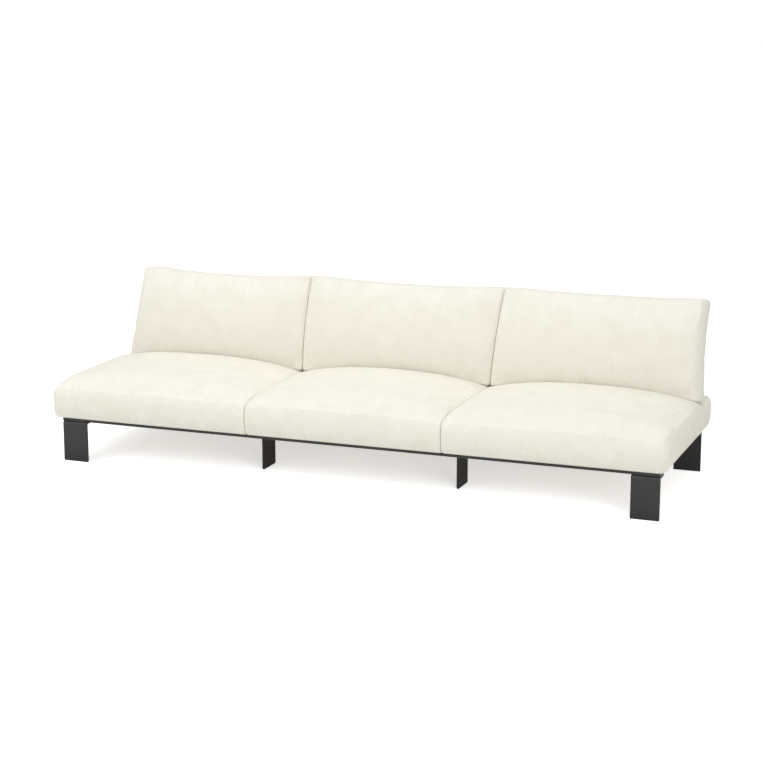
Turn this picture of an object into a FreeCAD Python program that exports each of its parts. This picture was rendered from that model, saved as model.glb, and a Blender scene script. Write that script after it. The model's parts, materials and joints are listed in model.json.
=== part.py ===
import FreeCAD, Part
import math
import os
import re
from types import SimpleNamespace

import Sketcher
from FreeCAD import Placement, Rotation, Vector

# An armless three-seat sofa: loose seat and back cushions on a frame of flat metal bar.
# X runs along the sofa, Y from front to back and Z up. The origin lies on the floor,
# under the middle of the frame. Every size is in millimetres, angles in degrees.

DRIVING_DIMENSIONS = (
    # Flat-bar frame
    ("frame_length", 2500, "over the end legs"),
    ("frame_depth", 766, "front of the front legs to back of the rear legs"),
    ("bar_width", 110, "width of the flat bars that lie on the legs"),
    ("plate", 10, "thickness of bars, legs and uprights"),
    ("leg_height", 170, "floor to the underside of the bars"),
    ("leg_width", 110, "width of a leg plate"),
    ("flange_length", 60, "leg's bent top, under the bar"),
    ("bend_radius", 3, "inside radius of every bend in the plate"),
    ("glide_height", 2, "plastic strip under a leg"),
    ("glide_inset", 1, "strip's edge inside the leg's edge"),
    ("middle_leg_setback", 159, "front of the frame to a front middle leg"),
    # Screws
    ("bolt_radius", 4, "shank"),
    ("bolt_clearance", 0.1, "hole radius over shank radius"),
    ("bolt_inset", 38, "leg's bend to its row of bolts"),
    ("bolt_spacing", 60, "the two bolts of a leg"),
    ("head_radius", 7.5, "hexagon head, over its corners"),
    ("head_height", 5.3, "hexagon head"),
    ("washer_radius", 8, "outside"),
    ("washer_height", 1.6, "thickness"),
    # Deck panels and the angles that carry them
    ("deck_thickness", 12, "plywood panel"),
    ("deck_gap", 1, "panel's edge to the metal round it"),
    ("ledge_plate", 3, "thickness of the angle"),
    ("ledge_reach", 25, "angle's flat leg, under the panel"),
    ("ledge_bend", 2, "inside radius of the angle"),
    ("vent_radius", 15, "air hole in a panel"),
    ("vent_pitch_along", 150, "air holes along the sofa"),
    ("vent_pitch_across", 140, "air holes from front to back"),
    # Back support
    ("upright_width", 80, "bent flat bar"),
    ("upright_height", 460, "underside of its foot to its top"),
    ("upright_foot", 110, "foot under the rear bar, over the bend"),
    ("upright_gap", 20, "rear of the frame to the front of an upright"),
    ("upright_bolt_spacing", 40, "the two bolts of a foot"),
    ("inner_upright_inset", 57, "cross bar's centre line to an inner upright"),
    ("outer_upright_inset", 170, "frame's end to an outer upright"),
    ("rail_height", 60, "rectangular tube"),
    ("rail_depth", 40, "rectangular tube"),
    ("rail_wall", 3, "tube wall"),
    ("rail_corner", 4, "tube's outer corner radius"),
    ("rail_bolt_spacing", 30, "the two bolts of an upright's top"),
    ("cap_flange", 3, "end cap, outside the tube"),
    ("cap_plug", 15, "end cap, inside the tube"),
    ("cap_clearance", 0.3, "plug to tube wall"),
    # Seat cushions
    ("rest_gap", 0.5, "cushion to the bars under it"),
    ("cushion_gap", 1, "between two cushions side by side"),
    ("left_line_shift", 1, "line of the left and middle cushions outside the cross bar's"),
    ("right_line_inset", 3, "line of the middle and right cushions inside the cross bar's"),
    ("left_line_slant", 4, "front of the left line nearer the middle than its rear"),
    ("right_line_slant", 7, "front of the right line nearer the middle than its rear"),
    ("seat_front_overhang", 22, "cushion in front of the frame"),
    ("seat_rear_overhang", 9, "cushion behind the frame"),
    ("seat_end_overhang", 35, "cushion beyond the frame's end"),
    ("seat_boxing", 124, "height of the side panel"),
    ("seat_side_rise", 26, "side seam's highest point over its front corner"),
    ("seat_front_rise", 9, "front seam's middle over its corners"),
    ("seat_crown", 71, "middle of the top over the front corner"),
    ("seat_bulge", 6, "front panel"),
    ("seat_corner_radius", 26, "drawn-in ends"),
    ("seat_edge_radius", 22, "lower front and rear edges"),
    ("seat_roll", 160, "front seam to where the top levels out"),
    # Back cushions
    ("back_foot_setting", 213, "rear of the seat to the foot of the back cushion"),
    ("back_foot_rise", 158, "foot of the back cushion over the seat's underside"),
    ("back_height", 391, "front seam, foot to top"),
    ("back_lean", 8.5, "front seam to the vertical"),
    ("back_thickness", 122, "side panel at the foot"),
    ("back_top_thickness", 132, "side panel at the top"),
    ("back_foot_tilt", 15, "underside to the horizontal"),
    ("back_top_tilt", 6, "top edge to the horizontal"),
    ("back_bow", 22, "side seams bowed to the front"),
    ("back_crown", 30, "front panel's middle over its seams"),
    ("back_rear_crown", 38, "rear panel's middle over its seams"),
    ("back_top_dip", 18, "middle of the top edge below its corners"),
    ("back_corner_radius", 20, "drawn-in ends"),
    ("back_left_inset", 7, "frame's end to the foot of the left back cushion"),
    ("back_right_overhang", 23, "right back cushion beyond the frame's end"),
    ("back_left_slump", 52, "left end's head further right than its foot"),
    ("back_left_line_slump", 21, "head of the left line further right than its foot"),
    ("back_right_line_slump", 40, "head of the right line further right than its foot"),
    ("foot_gap", 5, "seat's hollow to the back cushion's foot"),
    ("heel_gap", 22, "foot of the back cushion to the seat's rear roll"),
    # Covers, fillings and zips
    ("cover_wall", 3, "fabric and its wadding"),
    ("core_gap", 0.4, "cover to filling"),
    ("zip_inset", 90, "cushion's end to the zip's end"),
    ("tape_width", 30, "both tapes, closed"),
    ("tape_thickness", 0.8, "woven tape"),
    ("coil_width", 6, "closed teeth"),
    ("coil_height", 2, "teeth over the tape"),
    ("slider_length", 16, "zip slider"),
    ("slider_wall", 1.4, "slider's sides and top"),
    ("slider_gap", 0.3, "slider to teeth and tape"),
    ("tab_length", 30, "pull tab, lying flat"),
    ("tab_width", 7, "pull tab"),
    ("tab_thickness", 1.2, "pull tab"),
)

document = FreeCAD.newDocument("Sofa")
sheet = document.addObject("Spreadsheet::Sheet", "Sizes")
for row, (name, number, meaning) in enumerate(DRIVING_DIMENSIONS, start=1):
    sheet.set(f"A{row}", meaning)
    sheet.set(f"B{row}", str(number))
    sheet.setAlias(f"B{row}", name)
document.recompute()
size = SimpleNamespace(**{name: float(sheet.get(name)) for name, _, _ in DRIVING_DIMENSIONS})

# Heights and lines that several pieces share
RAIL_TOP = "(leg_height + plate)"
FRAME_END = "(frame_length / 2)"
FRAME_REAR = "(frame_depth / 2)"
BAR_INSIDE = "(frame_depth / 2 - bar_width)"
UPRIGHT_FRONT = "(frame_depth / 2 + upright_gap)"
UPRIGHT_BASE = "(leg_height - plate)"
UPRIGHT_TOP = "(leg_height - plate + upright_height)"
LEG_CENTRE = "(frame_length / 2 - leg_width / 2)"
CROSS_BAR = "(frame_length / 6)"
MIDDLE_LEG_FACE = "(frame_length / 6 - plate / 2)"
MIDDLE_LEG_CENTRE = "(frame_depth / 2 - middle_leg_setback - leg_width / 2)"
UPRIGHTS = {
    "outer": "(frame_length / 2 - outer_upright_inset)",
    "inner": "(frame_length / 6 - inner_upright_inset)",
}
RAIL_END = "(frame_length / 2 - outer_upright_inset + upright_width / 2)"
HOLE_RADIUS = "bolt_radius + bolt_clearance"

NO_TURN = Rotation()
HALF_TURN = Rotation(Vector(0, 0, 1), 180)
SIDES = (("left", -1), ("right", 1))

subparts = []


# Parametric helpers


def in_sheet(formula):
    """Write a formula in the sheet's names, such as plate / 2, as an expression."""
    names = "|".join(name for name, _, _ in DRIVING_DIMENSIONS)
    return re.sub(rf"\b({names})\b", r"Sizes.\1", formula)


def bind(item, target, formula):
    """Tie one property of an item to the sheet."""
    item.setExpression(target, in_sheet(formula))


def place(item, across="0", along="0", up="0", turn=NO_TURN):
    """Put an item at X, Y and Z formulas, turned about its own origin."""
    item.Placement = Placement(Vector(), turn)
    for axis, formula in zip("xyz", (across, along, up)):
        bind(item, f"Placement.Base.{axis}", formula)


def add_body(label):
    """Start a sub-part that is built from sketches."""
    body = document.addObject("PartDesign::Body", label)
    body.Label = label
    subparts.append(body)
    return body


def add_sketch(body, plane):
    """Put a sketch on one of the body's own origin planes."""
    support = next(part for part in body.Origin.OriginFeatures if part.Role == plane)
    sketch = body.newObject("Sketcher::SketchObject", body.Label + "_sketch")
    sketch.AttachmentSupport = [(support, "")]
    sketch.MapMode = "FlatFace"
    return sketch


def dimension(sketch, formula, kind, *where):
    """Add one driving dimension to a sketch and tie it to the sheet."""
    index = sketch.addConstraint(Sketcher.Constraint(kind, *where))
    bind(sketch, f"Constraints[{index}]", formula)


def draw_rectangle(sketch, width, height):
    """Draw a rectangle about the sketch's origin."""
    corners = [Vector(-1, -1, 0), Vector(1, -1, 0), Vector(1, 1, 0), Vector(-1, 1, 0)]
    lines = []
    for start, end in zip(corners, corners[1:] + corners[:1]):
        lines.append(sketch.addGeometry(Part.LineSegment(start, end)))
    for line, following in zip(lines, lines[1:] + lines[:1]):
        sketch.addConstraint(Sketcher.Constraint("Coincident", line, 2, following, 1))
    for index, direction in enumerate(("Horizontal", "Vertical", "Horizontal", "Vertical")):
        sketch.addConstraint(Sketcher.Constraint(direction, lines[index]))
    sketch.addConstraint(Sketcher.Constraint("Symmetric", lines[0], 1, lines[1], 2, -1, 1))
    dimension(sketch, width, "DistanceX", lines[0], 1, lines[0], 2, 2.0)
    dimension(sketch, height, "DistanceY", lines[1], 1, lines[1], 2, 2.0)


def draw_angle(sketch, flat, rise, thickness, bend):
    """Draw a bent plate's edge: its outer corner at the origin, one leg along each axis."""
    wall = 10.0
    inner = 6.0
    outer = wall + inner
    reach = 40.0
    middle = math.sqrt(0.5)
    geometry = [
        Part.LineSegment(Vector(outer, 0, 0), Vector(reach, 0, 0)),
        Part.LineSegment(Vector(reach, 0, 0), Vector(reach, wall, 0)),
        Part.LineSegment(Vector(reach, wall, 0), Vector(outer, wall, 0)),
        Part.Arc(
            Vector(wall, outer, 0),
            Vector(outer - inner * middle, outer - inner * middle, 0),
            Vector(outer, wall, 0),
        ),
        Part.LineSegment(Vector(wall, outer, 0), Vector(wall, reach, 0)),
        Part.LineSegment(Vector(wall, reach, 0), Vector(0, reach, 0)),
        Part.LineSegment(Vector(0, reach, 0), Vector(0, outer, 0)),
        Part.Arc(
            Vector(0, outer, 0),
            Vector(outer - outer * middle, outer - outer * middle, 0),
            Vector(outer, 0, 0),
        ),
    ]
    bottom, tip, top, inside, face, end, outside, bow = (
        sketch.addGeometry(item) for item in geometry
    )
    joints = (
        ("Coincident", bottom, 2, tip, 1),
        ("Coincident", tip, 2, top, 1),
        ("Tangent", top, 2, inside, 2),
        ("Tangent", inside, 1, face, 1),
        ("Coincident", face, 2, end, 1),
        ("Coincident", end, 2, outside, 1),
        ("Tangent", outside, 2, bow, 1),
        ("Tangent", bow, 2, bottom, 1),
        ("Coincident", inside, 3, bow, 3),
        ("PointOnObject", bottom, 1, -1),
        ("PointOnObject", outside, 1, -2),
    )
    for joint in joints:
        sketch.addConstraint(Sketcher.Constraint(*joint))
    for line in (bottom, top, end):
        sketch.addConstraint(Sketcher.Constraint("Horizontal", line))
    for line in (tip, face, outside):
        sketch.addConstraint(Sketcher.Constraint("Vertical", line))
    dimension(sketch, flat, "DistanceX", -1, 1, bottom, 2, reach)
    dimension(sketch, rise, "DistanceY", -1, 1, outside, 1, reach)
    dimension(sketch, thickness, "DistanceY", tip, 1, tip, 2, wall)
    dimension(sketch, bend, "Radius", inside, inner)


def pad(body, sketch, length, centred=False, backwards=False):
    """Raise a sketch into a solid."""
    feature = body.newObject("PartDesign::Pad", body.Label + "_pad")
    feature.Profile = sketch
    bind(feature, "Length", length)
    feature.SideType = "Symmetric" if centred else "One side"
    feature.Reversed = backwards
    return feature


def drill(body, centres, radius, plane="XY_Plane", depth=None):
    """Cut round holes through a body, each centre a pair of formulas in the sketch's axes."""
    document.recompute()
    sketch = add_sketch(body, plane)
    for across, along in centres:
        circle = sketch.addGeometry(Part.Circle(Vector(1, 1, 0), Vector(0, 0, 1), 1))
        dimension(sketch, across, "DistanceX", -1, 1, circle, 3, 1.0)
        dimension(sketch, along, "DistanceY", -1, 1, circle, 3, 1.0)
        dimension(sketch, radius, "Radius", circle, 1.0)
    pocket = body.newObject("PartDesign::Pocket", body.Label + "_holes")
    pocket.Profile = sketch
    if depth is None:
        pocket.Type = "ThroughAll"
        pocket.SideType = "Symmetric"
    else:
        bind(pocket, "Length", depth)
        pocket.SideType = "One side"
    before = body.Tip.Shape.Volume if body.Tip is not pocket else None
    document.recompute()
    if before is not None and pocket.Shape.Volume > before - 1:
        raise RuntimeError(body.Label + ": the holes cut nothing")
    return sketch


def hole_centres(body, sketch):
    """Where a drilled sketch's holes lie on the finished sofa."""
    turn = body.Placement.multiply(sketch.Placement)
    return [turn.multVec(circle.Center) for circle in sketch.Geometry]


def plus_minus(centre, spacing):
    """Two positions, half a spacing either side of a centre."""
    return [f"{centre} - {spacing} / 2", f"{centre} + {spacing} / 2"]


def add_shape(label, shape):
    """Keep a finished shape as a sub-part."""
    item = document.addObject("Part::Feature", label)
    item.Label = label
    item.Shape = shape
    subparts.append(item)
    return item


# Frame bars


def add_flat_bar(label, length, width, across, along):
    """A flat bar that lies on the legs."""
    body = add_body(label)
    sketch = add_sketch(body, "XY_Plane")
    draw_rectangle(sketch, length, width)
    pad(body, sketch, "plate")
    place(body, across, along, "leg_height")
    return body


def add_frame_bars():
    """The long bars, the end bars and the cross bars, with the tapped holes for their bolts."""
    holes = []
    end_rows = []
    middle_rows = []
    upright_rows = []
    for _, side in SIDES:
        end_rows += plus_minus(f"{side} * {LEG_CENTRE}", "bolt_spacing")
        middle_rows.append(f"{side} * ({MIDDLE_LEG_FACE} + bolt_inset)")
        for offset in UPRIGHTS.values():
            upright_rows += plus_minus(f"{side} * {offset}", "upright_bolt_spacing")
    for label, facing in (("front_rail", -1), ("rear_rail", 1)):
        bar = add_flat_bar(
            label, "frame_length", "bar_width", "0", f"{facing} * ({FRAME_REAR} - bar_width / 2)"
        )
        row = f"{facing} * (bar_width / 2 - bolt_inset)"
        centres = [(across, row) for across in end_rows]
        if facing > 0:
            centres += [(across, "0") for across in upright_rows]
            rows = plus_minus("(bar_width - leg_width) / 2", "bolt_spacing")
            for across in middle_rows:
                centres += [(across, along) for along in rows]
        holes += hole_centres(bar, drill(bar, centres, HOLE_RADIUS))
    for name, side in SIDES:
        add_flat_bar(
            f"{name}_end_bar",
            "bar_width",
            "frame_depth - 2 * bar_width",
            f"{side} * ({FRAME_END} - bar_width / 2)",
            "0",
        )
    for name, side in SIDES:
        bar = add_flat_bar(
            f"{name}_cross_bar",
            "bar_width",
            "frame_depth - 2 * bar_width",
            f"{side} * {CROSS_BAR}",
            "0",
        )
        row = f"{side} * (bolt_inset - plate / 2)"
        rows = plus_minus(f"0 - {MIDDLE_LEG_CENTRE}", "bolt_spacing")
        holes += hole_centres(bar, drill(bar, [(row, along) for along in rows], HOLE_RADIUS))
    return holes


# Legs and their glides


def add_leg(label, across, along, heading):
    """A plate leg with a bent top: its flange points to the heading, an angle from +Y."""
    body = add_body(label)
    sketch = add_sketch(body, "YZ_Plane")
    draw_angle(sketch, "flange_length", "leg_height - glide_height", "plate", "bend_radius")
    pad(body, sketch, "leg_width", centred=True)
    centres = [(across_leg, "bolt_inset") for across_leg in plus_minus("0", "bolt_spacing")]
    drill(body, centres, HOLE_RADIUS)
    hanging = Rotation(Vector(0, 1, 0), 180)
    place(body, across, along, "leg_height", Rotation(Vector(0, 0, 1), heading) * hanging)


def add_legs():
    """Four end legs across the sofa's corners and four middle legs turned along its depth."""
    for row, facing in (("front", -1), ("rear", 1)):
        for name, side in SIDES:
            add_leg(
                f"{row}_{name}_leg",
                f"{side} * {LEG_CENTRE}",
                f"{facing} * {FRAME_REAR}",
                90 + 90 * facing,
            )
    for row, along in (
        ("front", f"0 - {MIDDLE_LEG_CENTRE}"),
        ("rear", f"{FRAME_REAR} - leg_width / 2"),
    ):
        for name, side in SIDES:
            add_leg(
                f"{row}_{name}_middle_leg", f"{side} * {MIDDLE_LEG_FACE}", along, -90 * side
            )


def add_glides():
    """Plastic strips under the legs: one set under the end legs, one under the middle legs."""
    length = size.leg_width - 2 * size.glide_inset
    width = size.plate - 2 * size.glide_inset
    end_x = size.frame_length / 2 - size.leg_width / 2
    end_y = size.frame_depth / 2 - size.plate / 2
    front_y = size.frame_depth / 2 - size.middle_leg_setback - size.leg_width / 2
    rear_y = size.frame_depth / 2 - size.leg_width / 2
    end_strips = []
    middle_strips = []
    for _, side in SIDES:
        for facing in (-1, 1):
            strip = Part.makeBox(length, width, size.glide_height)
            strip.translate(Vector(side * end_x - length / 2, facing * end_y - width / 2, 0))
            end_strips.append(strip)
        for along in (-front_y, rear_y):
            strip = Part.makeBox(width, length, size.glide_height)
            across = side * size.frame_length / 6
            strip.translate(Vector(across - width / 2, along - length / 2, 0))
            middle_strips.append(strip)
    add_shape("end_leg_glides", Part.makeCompound(end_strips))
    add_shape("middle_leg_glides", Part.makeCompound(middle_strips))


# Deck panels and their ledges

END_BAY = "(frame_length / 3 - bar_width * 3 / 2)"
MIDDLE_BAY = "(frame_length / 3 - bar_width)"
END_BAY_CENTRE = "(frame_length / 3 - bar_width / 4)"
BAYS = (
    ("left", f"0 - {END_BAY_CENTRE}", END_BAY, 4),
    ("middle", "0", MIDDLE_BAY, 5),
    ("right", END_BAY_CENTRE, END_BAY, 4),
)
VENT_ROWS = 3


def add_decks():
    """A vented panel in each bay of the frame, on a ledge at its front and rear."""
    for name, centre, bay, columns in BAYS:
        for row, facing, turn in (("front", -1, NO_TURN), ("rear", 1, HALF_TURN)):
            ledge = add_body(f"{name}_{row}_ledge")
            sketch = add_sketch(ledge, "YZ_Plane")
            draw_angle(
                sketch, "ledge_reach", "deck_thickness + ledge_plate", "ledge_plate", "ledge_bend"
            )
            pad(ledge, sketch, f"{bay} - 2 * deck_gap", centred=True)
            base = f"{RAIL_TOP} - deck_thickness - ledge_plate"
            place(ledge, centre, f"{facing} * {BAR_INSIDE}", base, turn)
        deck = add_body(f"{name}_deck")
        sketch = add_sketch(deck, "XY_Plane")
        draw_rectangle(
            sketch,
            f"{bay} - 2 * deck_gap",
            f"2 * ({BAR_INSIDE} - ledge_plate - ledge_bend - deck_gap)",
        )
        pad(deck, sketch, "deck_thickness")
        vents = []
        for column in range(columns):
            for row in range(VENT_ROWS):
                vents.append(
                    (
                        f"{column - (columns - 1) / 2} * vent_pitch_along",
                        f"{row - (VENT_ROWS - 1) / 2} * vent_pitch_across",
                    )
                )
        drill(deck, vents, "vent_radius")
        place(deck, centre, "0", f"{RAIL_TOP} - deck_thickness")


# Back support


def add_back_support():
    """Four bent uprights behind the seats and the tube across them."""
    for name, side in SIDES:
        for position, offset in UPRIGHTS.items():
            body = add_body(f"{name}_{position}_upright")
            sketch = add_sketch(body, "YZ_Plane")
            draw_angle(sketch, "upright_foot", "upright_height", "plate", "bend_radius")
            pad(body, sketch, "upright_width", centred=True)
            foot_row = "upright_gap + plate + bar_width / 2"
            foot = [(across, foot_row) for across in plus_minus("0", "upright_bolt_spacing")]
            drill(body, foot, HOLE_RADIUS)
            rows = plus_minus("upright_height - rail_height / 2", "rail_bolt_spacing")
            drill(body, [("0", row) for row in rows], HOLE_RADIUS, "XZ_Plane")
            place(
                body,
                f"{side} * {offset}",
                f"{UPRIGHT_FRONT} + plate",
                UPRIGHT_BASE,
                HALF_TURN,
            )

    rail = add_body("back_rail")
    sketch = add_sketch(rail, "YZ_Plane")
    draw_rectangle(sketch, "rail_depth", "rail_height")
    draw_rectangle(sketch, "rail_depth - 2 * rail_wall", "rail_height - 2 * rail_wall")
    pad(rail, sketch, f"2 * {RAIL_END}", centred=True)
    document.recompute()
    tube = rail.Tip
    outer_edges = []
    for index, edge in enumerate(tube.Shape.Edges, start=1):
        box = edge.BoundBox
        at_side = abs(abs(box.YMin) - size.rail_depth / 2) < 0.01
        at_top = abs(abs(box.ZMin) - size.rail_height / 2) < 0.01
        if at_side and at_top and box.XLength > size.rail_depth:
            outer_edges.append(f"Edge{index}")
    rounding = rail.newObject("PartDesign::Fillet", "back_rail_corners")
    rounding.Base = (tube, outer_edges)
    bind(rounding, "Radius", "rail_corner")
    centres = []
    for _, side in SIDES:
        for offset in UPRIGHTS.values():
            for row in plus_minus("0", "rail_bolt_spacing"):
                centres.append((f"{side} * {offset}", row))
    holes = drill(rail, centres, HOLE_RADIUS, "XZ_Plane", "rail_depth")
    place(
        rail, "0", f"{UPRIGHT_FRONT} - rail_depth / 2", f"{UPRIGHT_TOP} - rail_height / 2"
    )
    document.recompute()

    for name, side in SIDES:
        cap = add_body(f"{name}_rail_cap")
        face = add_sketch(cap, "YZ_Plane")
        draw_rectangle(face, "rail_depth", "rail_height")
        pad(cap, face, "cap_flange", backwards=side < 0)
        plug = add_sketch(cap, "YZ_Plane")
        room = "2 * (rail_wall + cap_clearance)"
        draw_rectangle(plug, f"rail_depth - {room}", f"rail_height - {room}")
        pad(cap, plug, "cap_plug", backwards=side > 0)
        place(
            cap,
            f"{side} * {RAIL_END}",
            f"{UPRIGHT_FRONT} - rail_depth / 2",
            f"{UPRIGHT_TOP} - rail_height / 2",
        )
    return hole_centres(rail, holes)


# Bolts and washers


def make_bolt(length, head_below):
    """A hexagon-head bolt: the head's inner face at the origin, the shank along +Z."""
    corners = []
    for corner in range(7):
        angle = math.radians(60 * corner)
        spot = Vector(math.cos(angle), math.sin(angle), 0) * size.head_radius
        corners.append(spot + Vector(0, 0, -head_below - size.head_height))
    head = Part.Face(Part.makePolygon(corners)).extrude(Vector(0, 0, size.head_height))
    shank = Part.makeCylinder(size.bolt_radius, length + head_below, Vector(0, 0, -head_below))
    return head.fuse(shank).removeSplitter()


def make_washer():
    """A flat washer under a head, its upper face at the origin."""
    base = Vector(0, 0, -size.washer_height)
    ring = Part.makeCylinder(size.washer_radius, size.washer_height, base)
    hole = Part.makeCylinder(
        size.bolt_radius + size.bolt_clearance, size.washer_height, base
    )
    return ring.cut(hole)


def repeat(shape, centres, turn):
    """Copies of one piece, turned and set at each centre."""
    copies = []
    for centre in centres:
        copy = shape.copy()
        copy.Placement = Placement(centre, turn)
        copies.append(copy)
    return Part.makeCompound(copies)


def add_fasteners(frame_holes, rail_holes):
    """Bolts up through flanges and feet into the bars, and through the uprights into the tube."""
    under = [Vector(spot.x, spot.y, size.leg_height - size.plate) for spot in frame_holes]
    frame_bolt = make_bolt(2 * size.plate - size.bolt_clearance, size.washer_height)
    add_shape("frame_bolts", repeat(frame_bolt, under, NO_TURN))
    add_shape("frame_washers", repeat(make_washer(), under, NO_TURN))
    behind_y = size.frame_depth / 2 + size.upright_gap + size.plate
    behind = [Vector(spot.x, behind_y, spot.z) for spot in rail_holes]
    rail_bolt = make_bolt(size.plate + 2 * size.rail_wall, 0)
    add_shape("back_rail_bolts", repeat(rail_bolt, behind, Rotation(Vector(1, 0, 0), 90)))


# Cushion outlines, in the YZ plane

SEAT_BASE = size.leg_height + size.plate + size.rest_gap
SEAT_FRONT = -size.frame_depth / 2 - size.seat_front_overhang
SEAT_REAR = size.frame_depth / 2 + size.seat_rear_overhang
ZIP_HEIGHT = (
    size.tape_thickness + size.coil_height + size.slider_gap + size.slider_wall + size.tab_thickness
)
# How fast the crown rises from an end, and where between the end and the middle it is cut
CROWN_POWER = 2.5
CROWN_STEPS = (18, 42, 75, 120, 175, 240, 315)
# The front roll's arc: where its middle lies, and the share of the rise there and at its end
ROLL_VIA_REACH = 0.35
ROLL_VIA = 0.6
ROLL_END = 0.83
SIDE_VIA = 0.5
SIDE_END = 0.85


def blend(side, middle, share):
    """A height between its value at the side seam and in the middle of a cushion."""
    return side + (middle - side) * share


def point_at(start, angle, length):
    """A point (Y, Z) a length from another, the angle from +Y towards +Z in degrees."""
    turn = math.radians(angle)
    return (start[0] + length * math.cos(turn), start[1] + length * math.sin(turn))


def make_wire(plane, start, steps):
    """A closed outline in a plane: each step ends a line, or an arc through a middle point."""
    corner = plane(start)
    edges = []
    for step in steps:
        end = plane(step[-1])
        if len(step) == 1:
            edges.append(Part.LineSegment(corner, end).toShape())
        else:
            edges.append(Part.Arc(corner, plane(step[0]), end).toShape())
        corner = end
    return Part.Wire(edges)


def arc_depth(start, via, end, height):
    """Y of the front side of the arc through three points, at one height."""
    circle = Part.Arc(Vector(0, *start), Vector(0, *via), Vector(0, *end)).toShape().Curve
    rise = max(min(height, end[1]), start[1]) - circle.Center.z
    return circle.Center.y - math.sqrt(circle.Radius**2 - rise**2)


def back_corners(share, inset=0.0):
    """A back cushion's outline: four seam corners and the middles of its front and rear."""
    foot = (SEAT_REAR - size.back_foot_setting, SEAT_BASE + size.back_foot_rise)
    dip = size.back_top_dip * share
    heel = point_at(foot, -size.back_foot_tilt, size.back_thickness)
    head = point_at(foot, 90 - size.back_lean, size.back_height - dip)
    crest = point_at(head, -size.back_top_tilt, size.back_top_thickness)
    front_middle = ((foot[0] + head[0]) / 2, (foot[1] + head[1]) / 2)
    rear_middle = ((heel[0] + crest[0]) / 2, (heel[1] + crest[1]) / 2)
    front = front_middle[0] - size.back_bow - size.back_crown * share
    rear = rear_middle[0] - size.back_bow + size.back_rear_crown * share
    return SimpleNamespace(
        foot=(foot[0] + inset, foot[1] + inset),
        heel=(heel[0] - inset, heel[1] + inset),
        crest=(crest[0] - inset, crest[1] - inset),
        head=(head[0] + inset, head[1] - inset),
        front=(front + inset, front_middle[1]),
        rear=(rear - inset, rear_middle[1]),
    )


def back_outline(plane, inset, share):
    """A back cushion cut across in one plane."""
    spot = back_corners(share, inset)
    return make_wire(
        plane,
        spot.foot,
        [(spot.heel,), (spot.rear, spot.crest), (spot.head,), (spot.front, spot.foot)],
    )


def seat_outline(plane, inset, share, back_share):
    """A seat cushion cut across in one plane, with the hollow that the back cushion presses."""
    seam = SEAT_BASE + size.seat_boxing
    front = SEAT_FRONT + inset
    rear = SEAT_REAR - inset
    base = SEAT_BASE + inset
    radius = size.seat_edge_radius
    corner = radius * (1 - math.sqrt(0.5))
    front_seam = blend(seam, seam + size.seat_front_rise, share) - inset
    back = back_corners(back_share)

    def top(side_share, middle_share):
        side = seam + size.seat_side_rise * side_share
        return blend(side, seam + size.seat_crown * middle_share, share) - inset

    lip_height = top(SIDE_END, 1.0)
    lip_depth = arc_depth(back.foot, back.front, back.head, lip_height) - size.foot_gap - inset
    roll_end = SEAT_FRONT + size.seat_roll
    room = ZIP_HEIGHT + 2 * size.core_gap + inset
    floor_front = point_at(back.foot, -90 - size.back_foot_tilt, room)
    floor_rear = point_at(back.heel, -90 - size.back_foot_tilt, room)
    floor_height = min(floor_front[1], lip_height - size.foot_gap)
    step = (back.heel[0] + size.heel_gap + inset, seam + size.seat_front_rise - inset)
    return make_wire(
        plane,
        (front + radius, base),
        [
            ((front + corner, base + corner), (front, base + radius)),
            (
                (front - size.seat_bulge, (base + radius + front_seam) / 2),
                (front, front_seam),
            ),
            (
                (front + size.seat_roll * ROLL_VIA_REACH, top(SIDE_VIA, ROLL_VIA)),
                (roll_end, top(SIDE_END, ROLL_END)),
            ),
            (((roll_end + lip_depth) / 2, top(1.0, 1.0)), (lip_depth, lip_height)),
            ((back.foot[0] - size.foot_gap / 2 - inset, floor_height),),
            (floor_rear,),
            (step,),
            ((rear, seam + size.seat_front_rise - inset),),
            ((rear, base + radius),),
            ((rear - corner, base + corner), (rear - radius, base)),
            ((front + radius, base),),
        ],
    )


def stations(left, right, radius, inset):
    """Where a cushion is cut across: X, how far it is drawn in, and its share of the crown."""
    corner = [radius * (1 - math.cos(math.radians(angle))) for angle in range(0, 91, 18)]
    steps = corner + [radius + reach for reach in CROWN_STEPS]
    half = (right - left) / 2
    cuts = []
    for reach in steps:
        pull = radius - math.sqrt(radius**2 - max(radius - reach, 0) ** 2)
        share = 1 - (1 - reach / half) ** CROWN_POWER
        cuts.append((reach, pull, share))
    spots = [(left + reach + inset, pull + inset, share) for reach, pull, share in cuts]
    spots.append(((left + right) / 2, inset, 1.0))
    spots += [(right - reach - inset, pull + inset, share) for reach, pull, share in cuts[::-1]]
    return spots


def seat_form(ends, back_ends, inset):
    """A seat cushion's solid between two ends, each its rear's X and its front's shift."""
    (left, left_shift), (right, right_shift) = ends
    back_left, back_right = back_ends[0][0], back_ends[1][0]
    wires = []
    for across, pull, share in stations(left, right, size.seat_corner_radius, inset):
        half = (back_right - back_left) / 2
        reach = min(max(min(across - back_left, back_right - across), 0), half)
        back_share = 1 - (1 - reach / half) ** CROWN_POWER
        place = (across - left) / (right - left)
        shift = left_shift + (right_shift - left_shift) * place
        slant = shift / (SEAT_REAR - SEAT_FRONT)

        def plane(point, across=across, slant=slant):
            return Vector(across + slant * (SEAT_REAR - point[0]), *point)

        wires.append(seat_outline(plane, pull, share, back_share))
    return Part.makeLoft(wires, True, True)


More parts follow.
